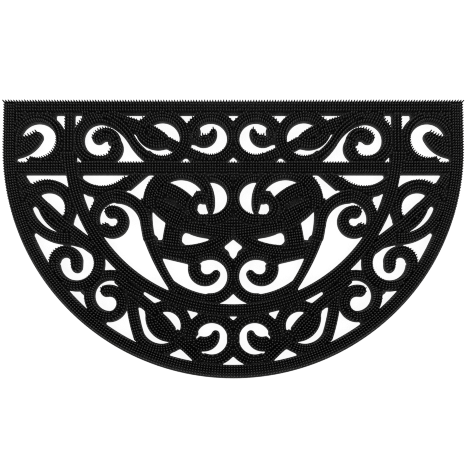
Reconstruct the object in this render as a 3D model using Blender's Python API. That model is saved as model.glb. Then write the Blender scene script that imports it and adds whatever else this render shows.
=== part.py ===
"""A half-round pierced rubber doormat, moulded in one piece.

The mat is drawn in plan, in millimetres: the straight back edge runs along X at
y = BACK, the half-round front edge is a circle of radius OUTER about the origin,
and the left half is described and mirrored about X = 0.
The openwork is the union of moulded bands: arcs, which run round a centre, links,
which run between two points with a bow, and small round webs where bands touch.
The whole is one flat slab as high as the tips of its rubber pins.
"""

import math

import bpy
import numpy as np
from mathutils import Vector
from mathutils.geometry import delaunay_2d_cdt

# Driving dimensions, millimetres
OUTER = 375.0  # radius of the half-round edge, and half the width
BACK = 78.0  # the straight back edge stands this far behind the circle's centre
HEIGHT = 12.0  # underside to pin tips
FACET = 0.2  # how far a facet may leave its curve
TIP_FACETS = 5  # facets down each side of a rounded band end
WEB_FACETS = 14  # facets round a web
LEAST_HOLE = 20.0  # square millimetres: smaller gaps between bands are moulded shut
ROUNDING = 1.8  # how far the corners of the holes are rounded
EVEN = 1.2  # spacing of the points that the rounding works on
STRAIGHT = 0.04  # a corner of the rim nearer than this to a straight line is dropped

# Bands that run round a centre: centre x y, start and end radius, start and end
# angle in degrees (falling angles run clockwise), width at start, middle and end,
# and the length of a rounded tip at the end
ARC_COLUMNS = ("name", "cx", "cy", "r0", "r1", "a0", "a1", "w0", "wm", "w1", "tip")
ARCS = [
    ("border",         0,      0,   364,   364,  180,  270,   22,   22,   22,  0),
    ("inner_arc",      0,      0, 265.5, 265.5,  182,  270,   20,   20,   20,  0),
    ("A_ring",    -317.5,   12.5,    37,    37, -118,  190,   17,   17,   17,  0),
    ("B_ring",      -217,     13,    36,    36,  300,   58,   20, 20.5,   18,  0),
    ("B_root",      -206,      6,    23,  14.7,  -75,   12,   20, 21.5, 18.5,  0),
    ("B_curl",      -206,      7,  14.5,    17,   10,  150, 17.5,   22,   21,  9),
    ("C_ring",    -115.5,   14.5,  38.5,    37,  150, -140,   20,   20,   20,  0),
    ("D_ring",     -36.5,   15.5,  36.5,  36.5, -115,  185, 20.5, 20.5,   20,  0),
    ("D_hook",       -49,   25.5,    12,    17,  225,  370,   22,   20,   11,  4),
    ("E_arch",    -299.5,   -100, 37.75,    36,  165,  -30,   22, 21.5,   18,  0),
    ("F_ring",      -252,   -190,    36,    36,   80, -180, 18.5, 18.5,   18,  0),
    ("F_curl",    -270.5,   -188,  17.9,  18.3,  190,    5,   19, 19.5,   20,  0),
    ("G_ring",      -198, -242.3,  34.2,    33,   35,  275,   17,   18,   18,  0),
    ("G_curl",      -200,   -254,    22,  20.5,  -95,  105,   18,   19,   20,  9),
    ("I_bowl",      -212,  -14.5,    58,    58,  222,  318,   20,   20,   20,  0),
    ("J_ring",      -189,   -117,  36.5,    37,  205,   95, 18.5, 18.5,   18,  0),
    ("J_curl",      -195,   -121,  18.5,    16, -165,  106,   22, 19.5,   21,  9),
    ("W_ring",     -86.5,    -90,  49.2,  49.2,  195,    3,   22,   23,   16, 22),
    ("V_ring",     -36.5,  -82.5,  36.5,  36.5,  100, -100, 20.5, 20.5,   19,  0),
    ("P_ring",       -37, -210.5, 36.75, 36.75,  115, -100,   19,   19,   19,  0),
    ("P_curl",       -44,   -198,    19,  18.5,  140,  335,   20,   21,   14,  6),
    ("R_ring",     -34.5,   -311,    35,    35,  190, -118,   20,   20,   19,  0),
    ("R_hook",     -46.5, -300.5,    20,  18.5,  222,  352,   22, 23.5,   13,  6),
    ("K_ring",    -107.5, -290.5,    32,    32,  150,  -60, 18.4, 18.4, 18.4,  0),
]

# Bands between two points: start x y, end x y, bow to the right of the way from
# start to end, width at start, middle and end, and the length of a rounded tip
LINK_COLUMNS = ("name", "x0", "y0", "x1", "y1", "bow", "w0", "wm", "w1", "tip")
LINKS = [
    ("top",        -375,   66.5,      0,    66.5,   0,   23,   23,   23,    0),
    ("side",       -364,     70,   -364,       0,   0,   22,   22,   22,    0),
    ("middle",     -365,  -33.9,      0,   -33.9,   0, 20.8, 20.8, 20.8,    0),
    ("post",     -266.8,     60, -266.8,     -30,   0, 16.5, 16.5, 16.5,    0),
    ("A_tongue",   -356,    1.5, -319.5,      18, 4.5,   38, 30.5,   20,  9.5),
    ("B_sweep",    -208,   48.5, -165.5,    13.5,  -5,   18,   17, 15.5,    0),
    ("B_sweep2", -165.5,   13.5,   -132,     -20,   3, 15.5,   17,   19,    0),
    ("C_stem",     -207,   52.5,   -140,      29,   0,   22,   23,   24,    0),
    ("C_leaf",   -150.6,   35.8, -105.6,    11.6, 7.4,   24, 36.5,   20,    0),
    ("C_tail",     -110,     11,    -84,      -4,   0,   19,   19,   18,    0),
    ("CD_join",     -77,     34,    -76,     -16,   0,   16,   16,   16,    0),
    ("D_root",      -88,      2,    -50,     -17,   2,   18,   18,   18,    0),
    ("E_stem",     -349,    -44,   -305,     -99, 2.5,   18,   18,   20,    0),
    ("E_leaf",   -308.2,  -94.6, -268.7,  -132.9, 3.8,   20, 27.5,   22,    0),
    ("E_foot",     -337,    -92,   -263,  -149.5,  18,   18,   18, 19.5,    0),
    ("E_tail",     -269,   -132,   -225,  -165.5,   0,   22,   22,   21,    0),
    ("F_top",      -268,   -150,   -232,    -160,  -1,   17,   17,   17,    0),
    ("F_tongue",   -253,   -182, -252.3,    -195,   0,   20,   20,   19, 10.5),
    ("I_arm",      -175,    -63,   -132,     -25,   0,   21,   21,   21,    0),
    ("J_side",     -192,    -80,   -141,    -130, -15,   22,   20,   19,    0),
    ("W_down1",    -140,    -85,   -136,    -150,   3,   20,   20,   20,    0),
    ("W_down2",  -135.5,   -148,  -94.5,    -232,   4,   20, 15.5,   15,    0),
    ("W_leafU",    -131,    -66,    -72,     -96,  -5,   28,   33,   30,    0),
    ("W_leafL",    -137,    -85,    -80,    -121,   2,   14,   30,   30,    0),
    ("W_vein",     -126,    -78,    -80,    -103,   0,    8,    8,    8,    0),
    ("U_top",       -98,   -122,      0, -129.25,   1,   26,   35, 43.5,    0),
    ("U_left",      -94,   -115, -100.5,    -162,   0,   27,   31,   31,    0),
    ("U_lip",       -70,   -138,    -38,    -145,   0,    7,   10,    8,    0),
    ("U_toe",       -87, -155.5,  -79.5,    -163,   0,    8,    8,    8,    0),
    ("U_low",      -112,   -166,     -5,    -142,  14,   20,   22,   18,    0),
    ("U_low2",     -125,   -168,    -58,    -184,   0,   20,   20,   20,    0),
    ("P_foot",     -100,   -225,    -35,    -249,   5,   18,   18,   18,    0),
    ("GN_join",    -186,   -213,   -146,    -240,   2,   20,   20,   20,    0),
    ("N_strut",    -165,   -238,   -150,    -312, 2.5, 18.5, 18.5, 18.5,    0),
    ("K_foot",     -153,   -303,    -88,    -318,  17,   18,   18,   18,    0),
    ("K_stem",     -160,   -240,   -130,    -264,   0,   20,   20,   20,    0),
    ("K_leaf",   -130.8, -264.3,  -95.8,  -305.4, 7.2,   19,   37,   24,    0),
    ("K_tail",      -98,   -302,    -83,    -321,   0,   23,   22,   20,    0),
    ("Q_link",      -89,   -312,    -54,    -344,  -1,   20,   20,   20,    0),
]

# Round webs that fill the crotches where bands meet: centre x y and radius
WEBS = [
    (-347, 50, 8), (-296, 52, 7), (-241, 52, 7), (-66, -16, 8),
    (-62, 27.5, 9.3), (-64, 15, 9), (-283, -17, 8), (-325, -137, 5),
    (-240.5, -235, 5.5), (-105, -332, 6), (-60, -331, 7), (-50, -272, 7.3),
    (-78, -274, 4), (-250, -46, 5), (-219, -91, 8.5), (-235, -74, 5),
    (-55, -80, 10), (-46, -46, 6), (0, -46, 8), (-16, -176, 10.5),
    (-201, 8, 4), (-208, -283, 5), (-118, -160, 9), (-128.5, -150, 7),
    (-34, -148, 6), (-67, -97, 9.5), (-58, -182.5, 6.8), (-57, -342, 3.5),
    (-59.5, -303, 4), (-49.5, -180, 5), (-54.5, -184, 5), (-343, -70, 6), (-337, -90, 4.5),
    (-327, -93, 5), (-151, -257, 4), (-49, -85, 7.5), (-62, -107, 6),
    (-62, -88, 6), (-69, -104, 5.5), (-165.5, 13.5, 7.6), (-199.5, -17.8, 9.6),
    (-269, -160, 5), (-76, -105, 5), (-262, -121, 4), (-224, -82, 4),
    (-20, -165, 6.5), (-197, 10, 4), (-59.5, -111, 6), (-39, -112, 5),
    (-60, -88.5, 6), (-86, -137, 7.5),
]


def width_at(t, w0, wm, w1):
    """A width that runs smoothly through w0, wm and w1 at the start, middle and end."""
    return w0 * (2 * t - 1) * (t - 1) + 4 * wm * t * (1 - t) + w1 * t * (2 * t - 1)


def facets(radius, turn):
    """How many facets follow an arc of this radius and turn, in radians, within FACET."""
    step = math.sqrt(8 * radius * FACET)
    return max(4, math.ceil(abs(turn) * radius / step))


def arc_line(arc):
    turn = math.radians(arc["a1"] - arc["a0"])
    t = np.linspace(0, 1, facets(max(arc["r0"], arc["r1"]), turn) + 1)
    angle = math.radians(arc["a0"]) + turn * t
    radius = arc["r0"] + (arc["r1"] - arc["r0"]) * t
    out = np.stack([np.cos(angle), np.sin(angle)], 1)
    round_ = np.stack([-np.sin(angle), np.cos(angle)], 1)
    points = np.array([arc["cx"], arc["cy"]]) + radius[:, None] * out
    ways = (arc["r1"] - arc["r0"]) * out + (turn * radius)[:, None] * round_
    return t, points, ways / np.linalg.norm(ways, axis=1)[:, None]


def link_line(link):
    start = np.array([link["x0"], link["y0"]])
    span = np.array([link["x1"], link["y1"]]) - start
    length = float(np.linalg.norm(span))
    along = span / length
    right = np.array([along[1], -along[0]])
    bow = link["bow"]
    if bow == 0:
        swell = abs(link["wm"] - (link["w0"] + link["w1"]) / 2)
        t = np.linspace(0, 1, 2 if swell < 0.5 else 9)
        return t, start + t[:, None] * span, np.repeat(along[None], len(t), 0)
    side = math.copysign(1, bow)
    radius = (length**2 / 4 + bow**2) / (2 * abs(bow))
    half = math.asin(min(1, length / 2 / radius))
    t = np.linspace(0, 1, facets(radius, 2 * half) + 1)
    angle = half * (2 * t - 1)
    centre = start + span / 2 + right * (bow - side * radius)
    cos, sin = np.cos(angle)[:, None], np.sin(angle)[:, None]
    points = centre + radius * (side * cos * right + sin * along)
    return t, points, cos * along - side * sin * right


def band(row):
    """The closed outline of one band."""
    t, points, ways = (arc_line if "cx" in row else link_line)(row)
    half = width_at(t, row["w0"], row["wm"], row["w1"]) / 2
    if row["tip"]:
        s = np.sin(np.linspace(0, math.pi / 2, TIP_FACETS + 1))[1:, None]
        points = np.vstack([points, points[-1] + row["tip"] * s * ways[-1]])
        ways = np.vstack([ways, np.repeat(ways[-1:], TIP_FACETS, 0)])
        half = np.concatenate([half, half[-1] * np.sqrt(np.maximum(0, 1 - s[:, 0] ** 2))])
    left = np.stack([-ways[:, 1], ways[:, 0]], 1) * half[:, None]
    return np.vstack([points + left, (points - left)[::-1]])


def web(x, y, radius):
    angle = np.arange(WEB_FACETS) * 2 * math.pi / WEB_FACETS
    return np.stack([x + radius * np.cos(angle), y + radius * np.sin(angle)], 1)


def outlines():
    rows = [dict(zip(ARC_COLUMNS, row)) for row in ARCS]
    rows += [dict(zip(LINK_COLUMNS, row)) for row in LINKS]
    half = [band(row) for row in rows] + [web(*row) for row in WEBS]
    half = [np.round(shape, 3) for shape in half]
    return half + [shape * (-1, 1) + 0.0 for shape in half]


def inside(shape, spots):
    """Which of the spots lie inside the closed shape."""
    within = np.zeros(len(spots), bool)
    for a, b in zip(shape, np.roll(shape, -1, axis=0)):
        if a[1] == b[1]:
            continue
        spans = (a[1] > spots[:, 1]) != (b[1] > spots[:, 1])
        at = a[0] + (spots[:, 1] - a[1]) * (b[0] - a[0]) / (b[1] - a[1])
        within ^= spans & (at > spots[:, 0])
    return within


def triangulate(shapes):
    """Triangles whose sides follow every shape's outline, and the middle of each."""
    points, edges = [], []
    for shape in shapes:
        first = len(points)
        points += [Vector((float(x), float(y))) for x, y in shape]
        edges += [(first + i, first + (i + 1) % len(shape)) for i in range(len(shape))]
    verts, _, tris, _, _, _ = delaunay_2d_cdt(points, edges, [], 0, 1e-3)
    plan = np.array([tuple(v) for v in verts])
    tris = np.array([tri if signed(plan, tri) > 0 else tri[::-1] for tri in tris])
    return plan, tris, plan[tris].mean(axis=1)


def boundary(shapes):
    """The loops round the union of the shapes."""
    verts, tris, spots = triangulate(shapes)
    covered = np.zeros(len(tris), bool)
    for shape in shapes:
        covered |= inside(shape, spots)
    tris = tris[covered]
    follows = {}
    ends = {(int(t[i]), int(t[i - 2])) for t in tris for i in range(3)}
    for a, b in sorted(ends):
        if (b, a) not in ends:
            follows.setdefault(a, []).append(b)
    loops = []
    while follows:
        start = min(follows)
        loop, here = [start], start
        while True:
            options = follows[here]
            if len(loop) > 1 and len(options) > 1:
                before = Vector(verts[loop[-1]] - verts[loop[-2]])
                options.sort(key=lambda o: before.angle_signed(Vector(verts[o] - verts[here])))
            nxt = options.pop(0)
            if not options:
                del follows[here]
            if nxt == start:
                break
            loop.append(nxt)
            here = nxt
        loops.append([verts[i] for i in loop])
    return loops


def area(loop):
    return sum(a[0] * b[1] - b[0] * a[1] for a, b in zip(loop, loop[1:] + loop[:1])) / 2


def rounded(loop):
    """The loop with its corners rounded, as they are in a mould."""
    loop = np.array(loop)
    steps = np.hypot(*(np.roll(loop, -1, axis=0) - loop).T)
    along = np.concatenate([[0], np.cumsum(steps)])
    count = max(24, round(along[-1] / EVEN))
    at = np.arange(count) * along[-1] / count
    x, y = (np.interp(at, along, np.append(c, c[0])) for c in loop.T)
    spacing = along[-1] / count
    reach = math.ceil(3 * ROUNDING / spacing)
    shifts = np.arange(-reach, reach + 1)
    weights = np.exp(-((shifts * spacing / ROUNDING) ** 2) / 2)
    weights /= weights.sum()
    x, y = (sum(w * np.roll(c, k) for w, k in zip(weights, shifts)) for c in (x, y))
    return np.stack([x, y], 1)


def thinned(points, limit):
    """The fewest of a line's points that keep it within the limit."""
    start, end = points[0], points[-1]
    span = end - start
    length = max(float(np.hypot(*span)), 1e-9)
    away = points - start
    if length < 1e-6:
        off = np.hypot(*away.T)
    else:
        off = abs(span[0] * away[:, 1] - span[1] * away[:, 0]) / length
    i = int(np.argmax(off))
    if off[i] <= limit:
        return [start, end]
    return thinned(points[: i + 1], limit)[:-1] + thinned(points[i:], limit)


def tidy(loop, limit):
    """A closed loop thinned between its two points that lie farthest apart."""
    far = int(np.argmax(np.hypot(*(loop - loop[0]).T)))
    loop = np.roll(loop, -far, axis=0)
    far = int(np.argmax(np.hypot(*(loop - loop[0]).T)))
    closed = np.vstack([loop, loop[:1]])
    return np.array(thinned(closed[: far + 1], limit)[:-1] + thinned(closed[far:], limit)[:-1])


def outline_loops():
    """The rim, then every hole: the left half's, their mirror images, and the middle's."""
    found = boundary(outlines())
    rim = tidy(np.array(max(found, key=area)), STRAIGHT)
    holes = [rounded(loop) for loop in found if area(loop) < -LEAST_HOLE]
    holes = [tidy(hole, FACET) for hole in holes]
    left = [hole for hole in holes if hole[:, 0].max() < 0]
    middle = [hole for hole in holes if hole[:, 0].min() < 0 < hole[:, 0].max()]
    return [rim] + left + [(hole * (-1, 1))[::-1] for hole in left] + middle


def slab(loops):
    """One closed flat solid: the loops' inside, extruded to HEIGHT."""
    plan, tris, spots = triangulate(loops)
    within = np.zeros(len(tris), bool)
    for loop in loops:
        within ^= inside(loop, spots)
    inner = [tuple(int(i) for i in tri) for tri in tris[within]]
    count = len(plan)
    lift = (OUTER - BACK) / 2
    verts3 = [(x / 1000, (y + lift) / 1000, 0.0) for x, y in plan]
    verts3 += [(x, y, HEIGHT / 1000) for x, y, _ in verts3]
    faces = [t[::-1] for t in inner] + [tuple(i + count for i in t) for t in inner]
    ends = {(t[i], t[i - 2]) for t in inner for i in range(3)}
    for i, j in sorted(ends):
        if (j, i) not in ends:
            faces.append((i, j, j + count, i + count))
    used = sorted({i for face in faces for i in face})
    new = {old: k for k, old in enumerate(used)}
    return [verts3[i] for i in used], [tuple(new[i] for i in face) for face in faces]


def signed(plan, tri):
    a, b, c = plan[list(tri)]
    return (b[0] - a[0]) * (c[1] - a[1]) - (b[1] - a[1]) * (c[0] - a[0])


def rubber():
    material = bpy.data.materials.new("rubber")
    material.use_nodes = True
    shader = material.node_tree.nodes["Principled BSDF"]
    shader.inputs["Base Color"].default_value = (0.016, 0.016, 0.017, 1)
    shader.inputs["Roughness"].default_value = 0.6
    return material


for old in list(bpy.data.objects):
    bpy.data.objects.remove(old, do_unlink=True)

loops = outline_loops()
verts, faces = slab(loops)
mesh = bpy.data.meshes.new("mat")
mesh.from_pydata(verts, [], faces)
mesh.validate()
mat = bpy.data.objects.new("mat", mesh)
mesh.materials.append(rubber())
bpy.context.scene.collection.objects.link(mat)
print("holes", len(loops) - 1, "points", sum(map(len, loops)), "faces", len(faces))
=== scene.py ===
"""The looks of a half-round pierced doormat of black moulded rubber.

The mat is drawn in plan in millimetres, as in its solid: the straight back edge
runs along X at y = BACK, and the half-round front edge is a circle of radius OUTER
about the origin. Everything is worked out for the plan and then lifted to metres.
A thin web carries the scrollwork. Each stroke of it is a raised bed with a small
rolled lip, and rows of rubber pins stand on the beds.
"""

import math

import bpy
import numpy as np
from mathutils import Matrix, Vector
from mathutils.geometry import delaunay_2d_cdt
from mathutils.kdtree import KDTree


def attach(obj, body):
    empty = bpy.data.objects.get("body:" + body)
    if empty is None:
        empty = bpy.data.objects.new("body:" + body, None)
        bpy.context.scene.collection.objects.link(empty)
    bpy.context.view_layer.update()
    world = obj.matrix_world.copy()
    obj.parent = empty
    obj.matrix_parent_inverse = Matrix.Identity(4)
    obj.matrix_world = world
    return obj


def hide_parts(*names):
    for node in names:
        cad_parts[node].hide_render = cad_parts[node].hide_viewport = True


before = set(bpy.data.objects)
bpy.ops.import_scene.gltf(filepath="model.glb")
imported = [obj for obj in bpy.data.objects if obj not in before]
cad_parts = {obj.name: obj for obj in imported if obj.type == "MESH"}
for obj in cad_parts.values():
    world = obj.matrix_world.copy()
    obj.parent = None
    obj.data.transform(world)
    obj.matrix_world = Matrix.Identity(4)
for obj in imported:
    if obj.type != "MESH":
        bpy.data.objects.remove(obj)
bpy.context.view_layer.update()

# Sizes in plan, millimetres
OUTER = 375.0  # radius of the half-round edge, and half the width
BACK = 78.0  # the straight back edge stands this far behind the circle's centre
HEIGHT = 12.0  # underside to pin tips
FACET = 0.04  # how far a facet may leave its curve
TIP_FACETS = 9  # facets down each side of a rounded band end
WEB_FACETS = 30  # facets round a web
LEAST_HOLE = 20.0  # square millimetres: smaller gaps between bands are moulded shut
ROUNDING = 1.8  # how far the corners of the holes are rounded
EVEN = 1.2  # spacing of the points that the rounding works on
LIFT = (OUTER - BACK) / 2  # from the plan's centre to the middle of the mat's depth

# Heights of the moulding, millimetres
WEB = 3.8  # top of the web
BED = 4.2  # top of a bed, between its pins
LIP = 4.7  # top of the lip round a bed

# The rim's cross-section, from the top inwards: distance in from the outline, height
EDGE_COLUMNS = ("inset", "z")
EDGE = [(0.6, WEB), (0.45, WEB - 0.1), (0.2, WEB - 0.45), (0.1, WEB - 1.1), (0.0, 0.4), (0.3, 0.0)]

# A bed's cross-section: distance in from the bed's outline, height
BED_COLUMNS = ("inset", "z")
BED_SIDE = [(0.2, WEB), (0.35, LIP - 0.15), (0.5, LIP), (1.05, LIP - 0.03), (1.3, BED)]
BED_GAP = 0.6  # a bed's outline stands this far in from its stroke's edge
BED_ROUNDING = 0.8
LEAST_GAP = 0.6  # a bed's outline comes no nearer than this to a hole
LEAST_BED = 40.0  # square millimetres

# The pins
PITCH = 4.4  # along a row
ROW = 4.35  # between rows
FIRST_ROW = 3.3  # from a stroke's edge to its outer row of pins
CLEAR = 1.3  # from a pin's middle to the edge of its bed
APART = 3.55  # least distance between pins
FILL_GRID = 2.1  # places tried for the pins between the strokes
FILL_EDGE = 3.0  # from those pins' middles to a hole
FILL_APART = 4.0
PIN_SIDES = 8
PIN_COLUMNS = ("z", "radius")
PIN = [(BED - 0.3, 1.6), (BED + 0.6, 1.36), (HEIGHT - 0.7, 1.0), (HEIGHT - 0.16, 0.7)]

# The straight strokes and the border have rows of their own: how many, how far the
# first runs from the stroke's middle, and the step to the next
LINES_COLUMNS = ("stroke", "rows", "first", "step")
LINES = [
    ("top", 4, 8.1, -4.95),
    ("border", 5, 8.6, -3.9),
    ("side", 5, 8.6, -3.9),
    ("middle", 4, 7.2, -4.6),
    ("post", 3, 5.3, -5.3),
]

# Bands that run round a centre: centre x y, start and end radius, start and end
# angle in degrees (falling angles run clockwise), width at start, middle and end,
# and the length of a rounded tip at the end
ARC_COLUMNS = ("name", "cx", "cy", "r0", "r1", "a0", "a1", "w0", "wm", "w1", "tip")
ARCS = [
    ("border",         0,      0,   364,   364,  180,  270,   22,   22,   22,  0),
    ("inner_arc",      0,      0, 265.5, 265.5,  182,  270,   20,   20,   20,  0),
    ("A_ring",    -317.5,   12.5,    37,    37, -118,  190,   17,   17,   17,  0),
    ("B_ring",      -217,     13,    36,    36,  300,   58,   20, 20.5,   18,  0),
    ("B_root",      -206,      6,    23,  14.7,  -75,   12,   20, 21.5, 18.5,  0),
    ("B_curl",      -206,      7,  14.5,    17,   10,  150, 17.5,   22,   21,  9),
    ("C_ring",    -115.5,   14.5,  38.5,    37,  150, -140,   20,   20,   20,  0),
    ("D_ring",     -36.5,   15.5,  36.5,  36.5, -115,  185, 20.5, 20.5,   20,  0),
    ("D_hook",       -49,   25.5,    12,    17,  225,  370,   22,   20,   11,  4),
    ("E_arch",    -299.5,   -100, 37.75,    36,  165,  -30,   22, 21.5,   18,  0),
    ("F_ring",      -252,   -190,    36,    36,   80, -180, 18.5, 18.5,   18,  0),
    ("F_curl",    -270.5,   -188,  17.9,  18.3,  190,    5,   19, 19.5,   20,  0),
    ("G_ring",      -198, -242.3,  34.2,    33,   35,  275,   17,   18,   18,  0),
    ("G_curl",      -200,   -254,    22,  20.5,  -95,  105,   18,   19,   20,  9),
    ("I_bowl",      -212,  -14.5,    58,    58,  222,  318,   20,   20,   20,  0),
    ("J_ring",      -189,   -117,  36.5,    37,  205,   95, 18.5, 18.5,   18,  0),
    ("J_curl",      -195,   -121,  18.5,    16, -165,  106,   22, 19.5,   21,  9),
    ("W_ring",     -86.5,    -90,  49.2,  49.2,  195,    3,   22,   23,   16, 22),
    ("V_ring",     -36.5,  -82.5,  36.5,  36.5,  100, -100, 20.5, 20.5,   19,  0),
    ("P_ring",       -37, -210.5, 36.75, 36.75,  115, -100,   19,   19,   19,  0),
    ("P_curl",       -44,   -198,    19,  18.5,  140,  335,   20,   21,   14,  6),
    ("R_ring",     -34.5,   -311,    35,    35,  190, -118,   20,   20,   19,  0),
    ("R_hook",     -46.5, -300.5,    20,  18.5,  222,  352,   22, 23.5,   13,  6),
    ("K_ring",    -107.5, -290.5,    32,    32,  150,  -60, 18.4, 18.4, 18.4,  0),
]

# Bands between two points: start x y, end x y, bow to the right of the way from
# start to end, width at start, middle and end, and the length of a rounded tip
LINK_COLUMNS = ("name", "x0", "y0", "x1", "y1", "bow", "w0", "wm", "w1", "tip")
LINKS = [
    ("top",        -375,   66.5,      0,    66.5,   0,   23,   23,   23,    0),
    ("side",       -364,     70,   -364,       0,   0,   22,   22,   22,    0),
    ("middle",     -365,  -33.9,      0,   -33.9,   0, 20.8, 20.8, 20.8,    0),
    ("post",     -266.8,     60, -266.8,     -30,   0, 16.5, 16.5, 16.5,    0),
    ("A_tongue",   -356,    1.5, -319.5,      18, 4.5,   38, 30.5,   20,  9.5),
    ("B_sweep",    -208,   48.5, -165.5,    13.5,  -5,   18,   17, 15.5,    0),
    ("B_sweep2", -165.5,   13.5,   -132,     -20,   3, 15.5,   17,   19,    0),
    ("C_stem",     -207,   52.5,   -140,      29,   0,   22,   23,   24,    0),
    ("C_leaf",   -150.6,   35.8, -105.6,    11.6, 7.4,   24, 36.5,   20,    0),
    ("C_tail",     -110,     11,    -84,      -4,   0,   19,   19,   18,    0),
    ("CD_join",     -77,     34,    -76,     -16,   0,   16,   16,   16,    0),
    ("D_root",      -88,      2,    -50,     -17,   2,   18,   18,   18,    0),
    ("E_stem",     -349,    -44,   -305,     -99, 2.5,   18,   18,   20,    0),
    ("E_leaf",   -308.2,  -94.6, -268.7,  -132.9, 3.8,   20, 27.5,   22,    0),
    ("E_foot",     -337,    -92,   -263,  -149.5,  18,   18,   18, 19.5,    0),
    ("E_tail",     -269,   -132,   -225,  -165.5,   0,   22,   22,   21,    0),
    ("F_top",      -268,   -150,   -232,    -160,  -1,   17,   17,   17,    0),
    ("F_tongue",   -253,   -182, -252.3,    -195,   0,   20,   20,   19, 10.5),
    ("I_arm",      -175,    -63,   -132,     -25,   0,   21,   21,   21,    0),
    ("J_side",     -192,    -80,   -141,    -130, -15,   22,   20,   19,    0),
    ("W_down1",    -140,    -85,   -136,    -150,   3,   20,   20,   20,    0),
    ("W_down2",  -135.5,   -148,  -94.5,    -232,   4,   20, 15.5,   15,    0),
    ("W_leafU",    -131,    -66,    -72,     -96,  -5,   28,   33,   30,    0),
    ("W_leafL",    -137,    -85,    -80,    -121,   2,   14,   30,   30,    0),
    ("W_vein",     -126,    -78,    -80,    -103,   0,    8,    8,    8,    0),
    ("U_top",       -98,   -122,      0, -129.25,   1,   26,   35, 43.5,    0),
    ("U_left",      -94,   -115, -100.5,    -162,   0,   27,   31,   31,    0),
    ("U_lip",       -70,   -138,    -38,    -145,   0,    7,   10,    8,    0),
    ("U_toe",       -87, -155.5,  -79.5,    -163,   0,    8,    8,    8,    0),
    ("U_low",      -112,   -166,     -5,    -142,  14,   20,   22,   18,    0),
    ("U_low2",     -125,   -168,    -58,    -184,   0,   20,   20,   20,    0),
    ("P_foot",     -100,   -225,    -35,    -249,   5,   18,   18,   18,    0),
    ("GN_join",    -186,   -213,   -146,    -240,   2,   20,   20,   20,    0),
    ("N_strut",    -165,   -238,   -150,    -312, 2.5, 18.5, 18.5, 18.5,    0),
    ("K_foot",     -153,   -303,    -88,    -318,  17,   18,   18,   18,    0),
    ("K_stem",     -160,   -240,   -130,    -264,   0,   20,   20,   20,    0),
    ("K_leaf",   -130.8, -264.3,  -95.8,  -305.4, 7.2,   19,   37,   24,    0),
    ("K_tail",      -98,   -302,    -83,    -321,   0,   23,   22,   20,    0),
    ("Q_link",      -89,   -312,    -54,    -344,  -1,   20,   20,   20,    0),
]

# Round webs that fill the crotches where bands meet: centre x y and radius
WEBS = [
    (-347, 50, 8), (-296, 52, 7), (-241, 52, 7), (-66, -16, 8),
    (-62, 27.5, 9.3), (-64, 15, 9), (-283, -17, 8), (-325, -137, 5),
    (-240.5, -235, 5.5), (-105, -332, 6), (-60, -331, 7), (-50, -272, 7.3),
    (-78, -274, 4), (-250, -46, 5), (-219, -91, 8.5), (-235, -74, 5),
    (-55, -80, 10), (-46, -46, 6), (0, -46, 8), (-16, -176, 10.5),
    (-201, 8, 4), (-208, -283, 5), (-118, -160, 9), (-128.5, -150, 7),
    (-34, -148, 6), (-67, -97, 9.5), (-58, -182.5, 6.8), (-57, -342, 3.5),
    (-59.5, -303, 4), (-49.5, -180, 5), (-54.5, -184, 5), (-343, -70, 6), (-337, -90, 4.5),
    (-327, -93, 5), (-151, -257, 4), (-49, -85, 7.5), (-62, -107, 6),
    (-62, -88, 6), (-69, -104, 5.5), (-165.5, 13.5, 7.6), (-199.5, -17.8, 9.6),
    (-269, -160, 5), (-76, -105, 5), (-262, -121, 4), (-224, -82, 4),
    (-20, -165, 6.5), (-197, 10, 4), (-59.5, -111, 6), (-39, -112, 5),
    (-60, -88.5, 6), (-86, -137, 7.5),
]


# The smooth vein in the middle of a leaf carries no bed and no pins; the columns
# are those of LINKS
BARE = [
    ("vein", -113, -81.5, -85, -100, 0, 1.5, 7.5, 1.5, 0),
]

# Round the small eye of the hook, the pins run in rings; the columns are those of ARCS
EYE = ("W_eye", -51.3, -99.8, 16.5, 16.5, 62, 250, 17, 17, 17, 0)

# Strokes in the order in which they pass over one another; those that share a
# group flow into each other with no seam
GROUPS = [
    ("rim", ("border", "side")),
    ("back", ("top",)),
    ("inner", ("inner_arc",)),
    ("middle", ("middle",)),
    ("post", ("post",)),
    ("A", ("A_ring", "A_tongue")),
    ("B", ("B_ring", "B_root", "B_curl", "B_sweep", "B_sweep2")),
    ("C", ("C_ring", "C_stem", "C_leaf", "C_tail")),
    ("D", ("D_ring", "D_hook", "D_root", "CD_join")),
    ("E", ("E_arch", "E_foot", "E_stem", "E_leaf", "E_tail")),
    ("F", ("F_ring", "F_curl", "F_tongue", "F_top")),
    ("G", ("G_ring", "G_curl", "GN_join")),
    ("J", ("J_ring", "J_curl", "J_side")),
    ("eye", ("W_eye",)),
    ("W", ("W_ring", "W_leafU", "W_leafL", "W_down1", "W_down2")),
    ("I", ("I_bowl", "I_arm")),
    ("V", ("V_ring",)),
    ("U", ("U_top", "U_left", "U_low", "U_low2")),
    ("P", ("P_ring", "P_curl", "P_foot")),
    ("R", ("R_ring", "R_hook", "Q_link")),
    ("K", ("K_ring", "K_leaf", "K_foot", "K_stem", "K_tail")),
    ("N", ("N_strut",)),
]


# ---------------------------------------------------------------- plan geometry


def width_at(t, w0, wm, w1):
    """A width that runs smoothly through w0, wm and w1 at the start, middle and end."""
    return w0 * (2 * t - 1) * (t - 1) + 4 * wm * t * (1 - t) + w1 * t * (2 * t - 1)


def facets(radius, turn):
    """How many facets follow an arc of this radius and turn, in radians, within FACET."""
    step = math.sqrt(8 * radius * FACET)
    return max(4, math.ceil(abs(turn) * radius / step))


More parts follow.
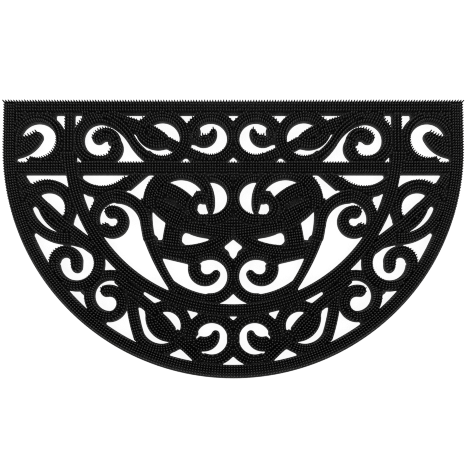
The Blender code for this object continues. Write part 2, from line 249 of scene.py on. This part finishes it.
def arc_line(arc):
    turn = math.radians(arc["a1"] - arc["a0"])
    t = np.linspace(0, 1, facets(max(arc["r0"], arc["r1"]), turn) + 1)
    angle = math.radians(arc["a0"]) + turn * t
    radius = arc["r0"] + (arc["r1"] - arc["r0"]) * t
    out = np.stack([np.cos(angle), np.sin(angle)], 1)
    round_ = np.stack([-np.sin(angle), np.cos(angle)], 1)
    points = np.array([arc["cx"], arc["cy"]]) + radius[:, None] * out
    ways = (arc["r1"] - arc["r0"]) * out + (turn * radius)[:, None] * round_
    return t, points, ways / np.linalg.norm(ways, axis=1)[:, None]


def link_line(link):
    start = np.array([link["x0"], link["y0"]])
    span = np.array([link["x1"], link["y1"]]) - start
    length = float(np.linalg.norm(span))
    along = span / length
    right = np.array([along[1], -along[0]])
    bow = link["bow"]
    if bow == 0:
        swell = abs(link["wm"] - (link["w0"] + link["w1"]) / 2)
        t = np.linspace(0, 1, 2 if swell < 0.5 else 17)
        return t, start + t[:, None] * span, np.repeat(along[None], len(t), 0)
    side = math.copysign(1, bow)
    radius = (length**2 / 4 + bow**2) / (2 * abs(bow))
    half = math.asin(min(1, length / 2 / radius))
    t = np.linspace(0, 1, facets(radius, 2 * half) + 1)
    angle = half * (2 * t - 1)
    centre = start + span / 2 + right * (bow - side * radius)
    cos, sin = np.cos(angle)[:, None], np.sin(angle)[:, None]
    points = centre + radius * (side * cos * right + sin * along)
    return t, points, cos * along - side * sin * right


def middle_line(row):
    """Points down the middle of a stroke to the end of its tip, the way it runs
    there, and half its width."""
    t, points, ways = (arc_line if "cx" in row else link_line)(row)
    half = width_at(t, row["w0"], row["wm"], row["w1"]) / 2
    if row["tip"]:
        s = np.sin(np.linspace(0, math.pi / 2, TIP_FACETS + 1))[1:, None]
        points = np.vstack([points, points[-1] + row["tip"] * s * ways[-1]])
        ways = np.vstack([ways, np.repeat(ways[-1:], TIP_FACETS, 0)])
        half = np.concatenate([half, half[-1] * np.sqrt(np.maximum(0, 1 - s[:, 0] ** 2))])
    return points, ways, half


def band(row, less=0.0):
    """The closed outline of one stroke, narrowed by this much on each side."""
    if less and row["tip"]:
        row = dict(row, tip=max(1.0, row["tip"] - less))
    points, ways, half = middle_line(row)
    left = np.stack([-ways[:, 1], ways[:, 0]], 1) * np.maximum(half - less, 0)[:, None]
    return np.vstack([points + left, (points - left)[::-1]])


def web(x, y, radius):
    angle = np.arange(WEB_FACETS) * 2 * math.pi / WEB_FACETS
    return np.stack([x + radius * np.cos(angle), y + radius * np.sin(angle)], 1)


def mirrored(shape):
    return shape * (-1, 1) + 0.0


def inside(shape, spots):
    """Which of the spots lie inside the closed shape."""
    within = np.zeros(len(spots), bool)
    low, high = shape.min(0), shape.max(0)
    near = np.where(((spots >= low) & (spots <= high)).all(1))[0]
    if len(near):
        at = spots[near]
        found = np.zeros(len(near), bool)
        for a, b in zip(shape, np.roll(shape, -1, axis=0)):
            if a[1] == b[1]:
                continue
            spans = (a[1] > at[:, 1]) != (b[1] > at[:, 1])
            x = a[0] + (at[:, 1] - a[1]) * (b[0] - a[0]) / (b[1] - a[1])
            found ^= spans & (x > at[:, 0])
        within[near] = found
    return within


def winds(shape, spots):
    """How many times the closed shape winds round each spot."""
    total = np.zeros(len(spots), int)
    low, high = shape.min(0), shape.max(0)
    near = np.where(((spots >= low) & (spots <= high)).all(1))[0]
    at = spots[near]
    for a, b in zip(shape, np.roll(shape, -1, axis=0)):
        if a[1] == b[1]:
            continue
        spans = (a[1] > at[:, 1]) != (b[1] > at[:, 1])
        x = a[0] + (at[:, 1] - a[1]) * (b[0] - a[0]) / (b[1] - a[1])
        total[near] += (spans & (x > at[:, 0])) * (1 if b[1] > a[1] else -1)
    return total


def triangulate(shapes):
    """Triangles whose sides follow every shape's outline, the middle of each, and
    the place in the row of shapes' points that each corner comes from, or -1."""
    points, edges = [], []
    for shape in shapes:
        first = len(points)
        points += [Vector((float(x), float(y))) for x, y in shape]
        edges += [(first + i, first + (i + 1) % len(shape)) for i in range(len(shape))]
    verts, _, tris, origin, _, _ = delaunay_2d_cdt(points, edges, [], 0, 1e-3)
    plan = np.array([tuple(v) for v in verts])
    tris = np.array(tris)
    a, b, c = (plan[tris[:, k]] for k in range(3))
    turn = (b[:, 0] - a[:, 0]) * (c[:, 1] - a[:, 1]) - (b[:, 1] - a[:, 1]) * (c[:, 0] - a[:, 0])
    tris[turn < 0] = tris[turn < 0][:, ::-1]
    return plan, tris, plan[tris].mean(axis=1), [o[0] if o else -1 for o in origin]


def rims(verts, tris):
    """The closed loops round these triangles, which lie to the left of them."""
    follows = {}
    ends = {(int(t[i]), int(t[i - 2])) for t in tris for i in range(3)}
    for a, b in sorted(ends):
        if (b, a) not in ends:
            follows.setdefault(a, []).append(b)
    loops = []
    while follows:
        start = min(follows)
        loop, here = [start], start
        while True:
            options = follows[here]
            if len(loop) > 1 and len(options) > 1:
                before = Vector(verts[loop[-1]] - verts[loop[-2]])
                options.sort(key=lambda o: before.angle_signed(Vector(verts[o] - verts[here])))
            nxt = options.pop(0)
            if not options:
                del follows[here]
            if nxt == start:
                break
            loop.append(nxt)
            here = nxt
        loops.append(np.array([verts[i] for i in loop]))
    return loops


def area(loop):
    x, y = loop.T
    return float((x * np.roll(y, -1) - np.roll(x, -1) * y).sum() / 2)


def evened(loop, spacing=EVEN):
    """The loop with points at even spaces along it."""
    steps = np.hypot(*(np.roll(loop, -1, axis=0) - loop).T)
    along = np.concatenate([[0], np.cumsum(steps)])
    count = max(24, round(along[-1] / spacing))
    at = np.arange(count) * along[-1] / count
    x, y = (np.interp(at, along, np.append(c, c[0])) for c in loop.T)
    return np.stack([x, y], 1), along[-1] / count


def rounded(loop, reach=ROUNDING, even=EVEN):
    """The loop with its corners rounded, as they are in a mould."""
    points, spacing = evened(loop, even)
    far = math.ceil(3 * reach / spacing)
    shifts = np.arange(-far, far + 1)
    weights = np.exp(-((shifts * spacing / reach) ** 2) / 2)
    weights /= weights.sum()
    return sum(w * np.roll(points, k, axis=0) for w, k in zip(weights, shifts))


def thinned(points, limit):
    """The fewest of a line's points that keep it within the limit."""
    start, end = points[0], points[-1]
    span = end - start
    length = max(float(np.hypot(*span)), 1e-9)
    away = points - start
    if length < 1e-6:
        off = np.hypot(*away.T)
    else:
        off = abs(span[0] * away[:, 1] - span[1] * away[:, 0]) / length
    i = int(np.argmax(off))
    if off[i] <= limit:
        return [start, end]
    return thinned(points[: i + 1], limit)[:-1] + thinned(points[i:], limit)


def tidy(loop, limit):
    """A closed loop thinned between its two points that lie farthest apart."""
    far = int(np.argmax(np.hypot(*(loop - loop[0]).T)))
    loop = np.roll(loop, -far, axis=0)
    far = int(np.argmax(np.hypot(*(loop - loop[0]).T)))
    closed = np.vstack([loop, loop[:1]])
    return np.array(thinned(closed[: far + 1], limit)[:-1] + thinned(closed[far:], limit)[:-1])


def moved_in(loops, by):
    """The loops moved to their left, with the parts where they then cross cut off."""
    if by == 0:
        return loops
    raw = []
    for loop in loops:
        ahead = np.roll(loop, -1, axis=0) - np.roll(loop, 1, axis=0)
        ahead /= np.maximum(np.hypot(*ahead.T), 1e-9)[:, None]
        raw.append(loop + by * np.stack([-ahead[:, 1], ahead[:, 0]], 1))
    verts, tris, spots, _ = triangulate(raw)
    within = sum(winds(loop, spots) for loop in raw) > 0
    return [loop for loop in rims(verts, tris[within]) if abs(area(loop)) > 0.5]


def tree_of(points):
    tree = KDTree(len(points))
    for i, point in enumerate(points):
        tree.insert((point[0], point[1], 0), i)
    tree.balance()
    return tree


def kept_off(loop, walls, least):
    """The loop with the points that lie nearer than this to a wall moved off it."""
    out = loop.copy()
    for i, (x, y) in enumerate(loop):
        near, _, far = walls.find((x, y, 0))
        if 1e-6 < far < least:
            wall = np.array(near[:2])
            out[i] = wall + (loop[i] - wall) * least / far
    return out


# ------------------------------------------------------------------- the outline

rows = {row[0]: dict(zip(ARC_COLUMNS, row)) for row in ARCS}
rows.update({row[0]: dict(zip(LINK_COLUMNS, row)) for row in LINKS})

half = [np.round(band(row), 3) for row in rows.values()]
half += [np.round(web(*row), 3) for row in WEBS]
shapes = half + [mirrored(shape) for shape in half]
rows[EYE[0]] = dict(zip(ARC_COLUMNS, EYE))
plan, tris, spots, _ = triangulate(shapes)
covered = np.zeros(len(tris), bool)
for shape in shapes:
    covered |= inside(shape, spots)
found = rims(plan, tris[covered])
rim = max(found, key=area)
holes = [rounded(loop) for loop in found if area(loop) < -LEAST_HOLE]
left = [hole for hole in holes if hole[:, 0].max() < 0]
across = [hole for hole in holes if hole[:, 0].min() < 0 < hole[:, 0].max()]
outline = [evened(rim)[0]] + left + [mirrored(hole)[::-1] for hole in left] + across
print("outline", len(outline), "loops", sum(map(len, outline)), "points")

# ---------------------------------------------------------------------- the beds

bounds = [np.round(loop, 3) for loop in moved_in(outline, BED_GAP)]
strokes = []  # the group's place and the outlines of its strokes
for place, (_, names) in enumerate(GROUPS):
    for name in names:
        shape = np.round(band(rows[name], BED_GAP), 3)
        strokes += [(place, shape), (place, mirrored(shape))]
bare = [np.round(band(dict(zip(LINK_COLUMNS, row))), 3) for row in BARE]
strokes = [(-1, shape) for shape in bare + [mirrored(shape) for shape in bare]] + strokes
plan, tris, spots, _ = triangulate([shape for _, shape in strokes] + bounds)
free = sum(winds(loop, spots) for loop in bounds) > 0
owner = np.full(len(tris), -1)
for place, shape in reversed(strokes):
    owner[inside(shape, spots)] = place
owner[~free] = -1
walls = tree_of(np.vstack([evened(loop, 0.3)[0] for loop in outline]))
beds = []  # the loops round each group's bed
for place in range(len(GROUPS)):
    loops = [loop for loop in rims(plan, tris[owner == place]) if abs(area(loop)) > 1]
    loops = [kept_off(rounded(loop, BED_ROUNDING, 0.6), walls, LEAST_GAP) for loop in loops]
    beds.append([loop for loop in loops if abs(area(loop)) > (LEAST_BED if area(loop) > 0 else 4)])
print("beds", sum(map(len, beds)), "loops", sum(len(loop) for bed in beds for loop in bed), "points")

# ------------------------------------------------------------ the moulded surface


def lifted(points, z):
    """Plan points in millimetres, at this height or these heights, in metres."""
    points = np.asarray(points, float)
    high = np.broadcast_to(np.asarray(z, float), (len(points),))
    return np.column_stack([points[:, 0], points[:, 1] + LIFT, high]) / 1000


def made(name, verts, faces, smooth=35):
    mesh = bpy.data.meshes.new(name)
    mesh.from_pydata(verts.tolist(), [], faces)
    mesh.update()
    mesh.shade_smooth()
    mesh.set_sharp_from_angle(angle=math.radians(smooth))
    obj = bpy.data.objects.new(name, mesh)
    bpy.context.scene.collection.objects.link(obj)
    return obj


def most_inset(loop):
    """How far in each point of a loop can move before a tight corner folds over."""
    back, ahead = loop - np.roll(loop, 1, axis=0), np.roll(loop, -1, axis=0) - loop
    turn = np.arctan2(back[:, 0] * ahead[:, 1] - back[:, 1] * ahead[:, 0], (back * ahead).sum(1))
    tight = np.minimum(np.hypot(*back.T), np.hypot(*ahead.T)) / np.maximum(abs(turn), 0.02)
    most = np.where(turn > 0.02, 0.6 * tight, 9.0)
    most = np.where((turn < -0.3) & (tight < 2.5), 0.5, most)
    for _ in range(4):
        most = np.minimum(most, np.minimum(np.roll(most, 1), np.roll(most, -1)) + 0.15)
    return most


def surface():
    """The whole moulding but its pins, as one closed mesh."""
    rings = []  # loops, one to one from ring to ring, round the outline
    base = [tidy(loop, 0.035) for loop in outline]
    room = [most_inset(loop) for loop in base]
    for inset, z in EDGE:
        ring = []
        for loop, most in zip(base, room):
            ahead = np.roll(loop, -1, axis=0) - np.roll(loop, 1, axis=0)
            ahead /= np.maximum(np.hypot(*ahead.T), 1e-9)[:, None]
            by = np.minimum(inset, most * inset / EDGE[0][0])[:, None]
            ring.append(loop + by * np.stack([-ahead[:, 1], ahead[:, 0]], 1))
        rings.append((ring, z))
    top, under = rings[0][0], rings[-1][0]
    lines, heights = list(top), [WEB] * len(top)
    for bed in beds:
        for inset, z in BED_SIDE:
            for loop in moved_in(bed, inset):
                lines.append(tidy(loop, 0.03))
                heights.append(z)
    plan, tris, spots, origin = triangulate(lines)
    level = np.concatenate([np.full(len(line), z) for line, z in zip(lines, heights)])
    z = np.array([level[o] if o >= 0 else WEB for o in origin])
    within = sum(winds(loop, spots) for loop in top) > 0
    tris = tris[within]
    count_top = sum(map(len, top))
    verts = [lifted(plan, z)]
    faces = [tuple(int(i) for i in t) for t in tris]
    # where each point of the top ring went
    where = {}
    for i, o in enumerate(origin):
        if 0 <= o < count_top:
            where[o] = i
    total = len(plan)
    starts = [total + k * count_top for k in range(len(rings) - 1)]
    for ring, height in rings[1:]:
        verts.append(lifted(np.vstack(ring), height))
    first = 0
    for loop in top:
        n = len(loop)
        for i in range(n):
            a, b = first + i, first + (i + 1) % n
            upper = (where.get(a, 0), where.get(b, 0))
            for start in starts:
                lower = (start + a, start + b)
                faces.append((upper[0], lower[0], lower[1], upper[1]))
                upper = lower
        first += n
    plan2, tris2, spots2, origin2 = triangulate(under)
    within = sum(winds(loop, spots2) for loop in under) > 0
    back = {i: starts[-1] + o for i, o in enumerate(origin2)}
    faces += [tuple(back[int(i)] for i in t[::-1]) for t in tris2[within]]
    verts = np.vstack(verts)
    used = np.zeros(len(verts), bool)
    used[[i for face in faces for i in face]] = True
    new = np.cumsum(used) - 1
    return verts[used], [tuple(int(new[i]) for i in face) for face in faces]


# ------------------------------------------------------------------------- pins


def spaced(points, pitch):
    """Places along a line of points, evenly a pitch apart and half a pitch from its ends."""
    steps = np.hypot(*np.diff(points, axis=0).T)
    along = np.concatenate([[0], np.cumsum(steps)])
    count = max(1, round(along[-1] / pitch))
    return (np.arange(count) + 0.5) * along[-1] / count, along


def row_offsets(name, half):
    """Where the rows of pins run across a stroke, from its middle, outer rows first."""
    for stroke, count, first, step in LINES:
        if stroke == name:
            return sorted((first + k * step for k in range(count)), key=lambda o: -abs(o))
    edge = half - FIRST_ROW
    if edge < 1.7:
        return [0.0]
    count = max(2, round(2 * edge / ROW) + 1)
    offsets = [edge - 2 * edge * k / (count - 1) for k in range(count)]
    return sorted(offsets, key=lambda o: -abs(o))


def pins_of(row):
    """Pins in rows along one stroke of the left half, outer rows first."""
    points, ways, half = middle_line(row)
    fine, last = [], len(points) - 1
    side = np.stack([-ways[:, 1], ways[:, 0]], 1)
    even = half.max() - half.min() < 1.3
    radial = "cx" in row and min(row["r0"], row["r1"]) >= 25
    found = []
    if even or radial:
        at, along = spaced(points, PITCH)
        if even:
            offsets = row_offsets(row["name"], float(np.median(half)))
        else:
            offsets = None
    if even and not (("cx" in row) and not radial):
        for offset in offsets:
            line = points + side * offset
            for s in at:
                found.append([np.interp(s, along, line[:, 0]), np.interp(s, along, line[:, 1])])
        return found
    # rows that follow the stroke's edges, from its edges inwards
    widest = float(half.max())
    depth = 0
    while widest - FIRST_ROW - depth * ROW > -ROW / 2:
        inset = FIRST_ROW + depth * ROW
        for sign in (1, -1):
            offset = half - inset
            keep = offset > (-0.1 if depth == 0 else 0.9)
            if not keep.any():
                continue
            line = points + side * (sign * np.maximum(offset, 0))[:, None]
            at, along = spaced(line, PITCH)
            ok = np.interp(at, along, keep.astype(float)) > 0.99
            for s in at[ok]:
                found.append([np.interp(s, along, line[:, 0]), np.interp(s, along, line[:, 1])])
        depth += 1
    at, along = spaced(points, PITCH)
    for s in at:
        found.append([np.interp(s, along, points[:, 0]), np.interp(s, along, points[:, 1])])
    return found


def to_edge(spots, loops):
    """How far each spot is from the nearest of the loops."""
    best = np.full(len(spots), 1e9)
    for loop in loops:
        a, b = loop, np.roll(loop, -1, axis=0)
        low, high = loop.min(0) - 4, loop.max(0) + 4
        near = np.where(((spots >= low) & (spots <= high)).all(1))[0]
        if not len(near):
            continue
        p = spots[near]
        span = b - a
        length = np.maximum((span**2).sum(1), 1e-9)
        t = np.clip(((p[:, None] - a[None]) * span[None]).sum(2) / length[None], 0, 1)
        off = p[:, None] - (a[None] + t[..., None] * span[None])
        best[near] = np.minimum(best[near], np.sqrt((off**2).sum(2).min(1)))
    return best


def filled(pins):
    """The pins, and more in the moulding between the strokes where there is room."""
    x, y = (np.arange(*ends, FILL_GRID) for ends in ((-OUTER, -2.1), (-OUTER, BACK)))
    spots = np.stack(np.meshgrid(x, y), -1)
    spots[1::2, :, 0] += FILL_GRID / 2
    spots = spots.reshape(-1, 2)
    room = [loop for loop in outline if loop[:, 0].min() < 0]
    spots = spots[sum(winds(loop, spots) for loop in room) > 0]
    for shape in bare:
        spots = spots[~inside(shape, spots)]
    tree = tree_of(pins)
    free = [p for p in spots if tree.find((*p, 0))[2] >= FILL_APART and walls.find((*p, 0))[2] >= FILL_EDGE]
    more = np.zeros((0, 2))
    for p in free:
        if not len(more) or np.hypot(*(more - p).T).min() >= FILL_APART:
            more = np.vstack([more, p])
    print("filled", len(more))
    return np.vstack([pins, more])


def all_pins():
    kept = []
    for place, (_, names) in enumerate(GROUPS):
        mine = np.zeros((0, 2))
        for name in names:
            spots = np.array(pins_of(rows[name]))
            spots = spots[spots[:, 0] < -APART / 2]
            if not len(spots) or not beds[place]:
                continue
            within = sum(winds(loop, spots) for loop in beds[place]) > 0
            spots = spots[within]
            if not len(spots):
                continue
            spots = spots[to_edge(spots, beds[place]) >= CLEAR]
            for spot in spots:
                if len(mine) and (np.hypot(*(mine - spot).T) < APART).any():
                    continue
                mine = np.vstack([mine, spot])
        kept.append(mine)
    left = filled(np.vstack(kept))
    return np.vstack([left, mirrored(left)])


def pin_mesh(name, spots, seed):
    """A joined mesh of pins, each a little different as moulded rubber is."""
    rng = np.random.default_rng(seed)
    n, k, sides = len(spots), len(PIN), PIN_SIDES
    angle = np.arange(sides) * 2 * math.pi / sides
    lean = rng.normal(0, 0.09, (n, 2))
    drop = rng.uniform(0, 0.25, n)
    turn = rng.uniform(0, 2 * math.pi, n)
    verts = np.zeros((n, k * sides + 1, 3))
    rings = verts[:, :-1].reshape(n, k, sides, 3)
    for j, (z, radius) in enumerate(PIN):
        up = (z - BED) / (HEIGHT - BED)
        a = angle[None] + turn[:, None]
        rings[:, j, :, 0] = spots[:, 0, None] + radius * np.cos(a) + (lean[:, 0] * max(up, 0))[:, None]
        rings[:, j, :, 1] = spots[:, 1, None] + LIFT + radius * np.sin(a) + (lean[:, 1] * max(up, 0))[:, None]
        rings[:, j, :, 2] = (z - drop * max(up, 0))[:, None]
    verts[:, -1] = np.column_stack([spots[:, 0] + lean[:, 0], spots[:, 1] + LIFT + lean[:, 1], HEIGHT - drop])
    verts[:, :-1] = rings.reshape(n, k * sides, 3)
    verts = verts.reshape(-1, 3) / 1000
    i = np.arange(sides)
    quads = []
    for j in range(k - 1):
        low, high = j * sides + i, (j + 1) * sides + i
        quads.append(np.stack([low, np.roll(low, -1), np.roll(high, -1), high], 1))
    quads = np.vstack(quads)
    start = (np.arange(n) * (k * sides + 1))[:, None, None]
    walls = (start + quads[None]).reshape(-1, 4)
    top = (k - 1) * sides + i
    fans = np.stack([top, np.roll(top, -1), np.full(sides, k * sides)], 1)
    domes = (start + fans[None]).reshape(-1, 3)
    loops = np.concatenate([walls.ravel(), domes.ravel()])
    counts = np.concatenate([np.full(len(walls), 4), np.full(len(domes), 3)])
    mesh = bpy.data.meshes.new(name)
    mesh.vertices.add(len(verts))
    mesh.vertices.foreach_set("co", verts.ravel())
    mesh.loops.add(len(loops))
    mesh.loops.foreach_set("vertex_index", loops.astype(np.int32))
    mesh.polygons.add(len(counts))
    mesh.polygons.foreach_set("loop_start", np.concatenate([[0], np.cumsum(counts)[:-1]]).astype(np.int32))
    mesh.update(calc_edges=True)
    mesh.validate()
    mesh.shade_smooth()
    mesh.set_sharp_from_angle(angle=math.radians(50))
    obj = bpy.data.objects.new(name, mesh)
    bpy.context.scene.collection.objects.link(obj)
    return obj


# ------------------------------------------------------------------------ finish


# How much paler the rubber is painted at each height, as a painted highlight: most at the pins'
# tips, and some on the smooth edges and lips, where light catches. Height in millimetres, share
PALE_COLUMNS = ("z", "share")
PAINTED_SHEEN_BY_HEIGHT = [(0, 0.3), (WEB + 0.05, 0.65), (BED - 0.1, 0), (BED + 0.1, 0), (LIP - 0.15, 0.95), (LIP + 0.1, 0.95), (LIP + 0.4, 0), (8, 0), (11.8, 0.95)]


CENTRE_Y = LIFT / 1000  # the round edge's centre, in metres


def rubber():
    """Black moulded rubber: faintly mottled, matt, with a painted highlight that makes its tips, lips and
    edges paler, and painted light on the front rim.
    """
    material = bpy.data.materials.new("black_rubber")
    material.use_nodes = True
    tree = material.node_tree
    nodes, links = tree.nodes, tree.links
    shader = nodes["Principled BSDF"]
    shader.inputs["IOR"].default_value = 1.5
    shader.inputs["Specular IOR Level"].default_value = 0.25

    place = nodes.new("ShaderNodeTexCoord")
    mottle = nodes.new("ShaderNodeTexNoise")
    mottle.inputs["Scale"].default_value = 26
    mottle.inputs["Detail"].default_value = 5
    links.new(place.outputs["Object"], mottle.inputs["Vector"])
    grain = nodes.new("ShaderNodeTexNoise")
    grain.inputs["Scale"].default_value = 1900
    grain.inputs["Detail"].default_value = 3
    links.new(place.outputs["Object"], grain.inputs["Vector"])

    split = nodes.new("ShaderNodeSeparateXYZ")
    links.new(place.outputs["Object"], split.inputs[0])
    high = nodes.new("ShaderNodeMapRange")
    high.inputs["From Max"].default_value = HEIGHT / 1000
    links.new(split.outputs["Z"], high.inputs["Value"])
    # painted highlight: a ramp by height that pales the pins' tips, the lips and the smooth edges
    pale = nodes.new("ShaderNodeValToRGB")
    stops = pale.color_ramp.elements
    for _ in range(len(PAINTED_SHEEN_BY_HEIGHT) - 2):
        stops.new(0.5)
    for stop, (z, share) in zip(stops, PAINTED_SHEEN_BY_HEIGHT):
        stop.position = z / HEIGHT
        stop.color = (share, share, share, 1)
    links.new(high.outputs["Result"], pale.inputs["Fac"])

    # painted light along the smooth rim of the round front edge, paler towards the front as if lit from
    # there, patchy with the mottling
    plan = nodes.new("ShaderNodeCombineXYZ")
    links.new(split.outputs["X"], plan.inputs["X"])
    links.new(split.outputs["Y"], plan.inputs["Y"])
    reach = nodes.new("ShaderNodeVectorMath")
    reach.operation = "DISTANCE"
    links.new(plan.outputs[0], reach.inputs[0])
    reach.inputs[1].default_value = (0, CENTRE_Y, 0)
    rim = nodes.new("ShaderNodeMapRange")
    rim.inputs["From Min"].default_value = 0.364
    rim.inputs["From Max"].default_value = 0.3725
    rim.inputs["To Max"].default_value = 1.9
    links.new(reach.outputs["Value"], rim.inputs["Value"])
    front = nodes.new("ShaderNodeMapRange")
    front.inputs["From Min"].default_value = CENTRE_Y - 0.05
    front.inputs["From Max"].default_value = CENTRE_Y - 0.22
    links.new(split.outputs["Y"], front.inputs["Value"])
    painted_front_light = nodes.new("ShaderNodeMath")
    painted_front_light.operation = "MULTIPLY"
    links.new(rim.outputs["Result"], painted_front_light.inputs[0])
    links.new(front.outputs["Result"], painted_front_light.inputs[1])
    patchy = nodes.new("ShaderNodeMath")
    patchy.operation = "MULTIPLY"
    links.new(painted_front_light.outputs[0], patchy.inputs[0])
    links.new(mottle.outputs["Fac"], patchy.inputs[1])
    # the painted highlight by height and the painted front light, whichever is greater
    painted_sheen = nodes.new("ShaderNodeMath")
    painted_sheen.operation = "MAXIMUM"
    links.new(pale.outputs["Color"], painted_sheen.inputs[0])
    links.new(patchy.outputs[0], painted_sheen.inputs[1])

    tone = nodes.new("ShaderNodeValToRGB")
    tone.color_ramp.elements[0].position = 0.3
    tone.color_ramp.elements[0].color = (0.0060, 0.0060, 0.0059, 1)
    tone.color_ramp.elements[1].position = 0.7
    tone.color_ramp.elements[1].color = (0.0110, 0.0110, 0.0108, 1)
    links.new(mottle.outputs["Fac"], tone.inputs["Fac"])
    # painted highlight and painted light: the rubber is mixed towards this paler tone where they fall
    painted_sheen_mix = nodes.new("ShaderNodeMix")
    painted_sheen_mix.data_type = "RGBA"
    painted_sheen_mix.inputs["B"].default_value = (0.055, 0.055, 0.0537, 1)
    links.new(tone.outputs["Color"], painted_sheen_mix.inputs["A"])
    links.new(painted_sheen.outputs[0], painted_sheen_mix.inputs["Factor"])
    links.new(painted_sheen_mix.outputs["Result"], shader.inputs["Base Color"])

    rough = nodes.new("ShaderNodeMapRange")
    rough.inputs["To Min"].default_value = 0.42
    rough.inputs["To Max"].default_value = 0.62
    links.new(grain.outputs["Fac"], rough.inputs["Value"])
    links.new(rough.outputs["Result"], shader.inputs["Roughness"])

    bump = nodes.new("ShaderNodeBump")
    bump.inputs["Strength"].default_value = 0.25
    bump.inputs["Distance"].default_value = 0.0001
    links.new(grain.outputs["Fac"], bump.inputs["Height"])
    links.new(bump.outputs["Normal"], shader.inputs["Normal"])
    return material


def floor_finish():
    material = bpy.data.materials.new("pale_floor")
    material.use_nodes = True
    shader = material.node_tree.nodes["Principled BSDF"]
    shader.inputs["Base Color"].default_value = (0.2, 0.2, 0.2, 1)
    shader.inputs["Emission Color"].default_value = (1, 1, 1, 1)
    shader.inputs["Emission Strength"].default_value = 0.91
    shader.inputs["Roughness"].default_value = 0.9
    shader.inputs["Specular IOR Level"].default_value = 0.1
    return material


# ------------------------------------------------------------------------- build

finish = rubber()
verts, faces = surface()
mat = made("mat_web", verts, faces)
mat.data.materials.append(finish)
spots = all_pins()
print("web", len(verts), "points", len(faces), "faces;", len(spots), "pins")

QUARTERS = ("pins_left_back", "pins_left_front", "pins_right_back", "pins_right_front")
pins = []
for k, name in enumerate(QUARTERS):
    mine = (spots[:, 0] > 0) == (k >= 2)
    mine &= (spots[:, 1] < -60) == (k % 2 == 1)
    piece = pin_mesh(name, spots[mine], 11 + k)
    piece.data.materials.append(finish)
    pins.append(piece)
    print(name, mine.sum())

for piece in [mat] + pins:
    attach(piece, "root")
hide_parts("mat")

bpy.ops.mesh.primitive_plane_add(size=12, location=(0, 0, -0.0004))
floor = bpy.context.object
floor.name = "floor"
floor.data.materials.append(floor_finish())

# light and camera

world = bpy.data.worlds.new("studio")
bpy.context.scene.world = world
world.use_nodes = True
world.node_tree.nodes["Background"].inputs["Color"].default_value = (1, 1, 1, 1)
world.node_tree.nodes["Background"].inputs["Strength"].default_value = 0.02


def softbox(name, place, aim, size, watts):
    light = bpy.data.lights.new(name, "AREA")
    light.shape = "RECTANGLE"
    light.size, light.size_y = size
    light.energy = watts
    obj = bpy.data.objects.new(name, light)
    obj.location = place
    obj.rotation_euler = (Vector(aim) - Vector(place)).to_track_quat("-Z", "Y").to_euler()
    bpy.context.scene.collection.objects.link(obj)
    return obj


softbox("left", (-2.5, 0.1, 1.45), (0, 0, 0), (1.8, 1.0), 32)
softbox("right", (2.5, 0.1, 1.45), (0, 0, 0), (1.8, 1.0), 32)
softbox("behind", (0, 2.6, 1.45), (0, 0, 0), (2.4, 1.0), 30)
softbox("front", (0, -2.7, 1.45), (0, 0, 0), (2.4, 1.0), 42)

camera_data = bpy.data.cameras.new("camera")
camera = bpy.data.objects.new("camera", camera_data)
bpy.context.scene.collection.objects.link(camera)
bpy.context.scene.camera = camera
# The axis leans TILT from straight down, and the frame is shifted a little so that
# the mat is seen from slightly further forward than that
TILT, FAR, SHIFT, ACROSS = math.radians(2), 0.68, 0.25, 0.764
view = TILT + math.atan(SHIFT * ACROSS / FAR)
camera_data.sensor_width = 36
camera_data.lens = 36 * FAR * math.cos(view - TILT) / ACROSS
camera_data.shift_y = SHIFT - 0.5 / 470
camera_data.shift_x = 1.75 / 470
camera.location = (0, -FAR * math.sin(view), FAR * math.cos(view))
camera.rotation_euler = (TILT, 0, 0)
bpy.context.scene.view_settings.view_transform = "Standard"
bpy.context.scene.cycles.filter_width = 1.0
bpy.context.scene.cycles.use_denoising = False

bpy.context.view_layer.update()
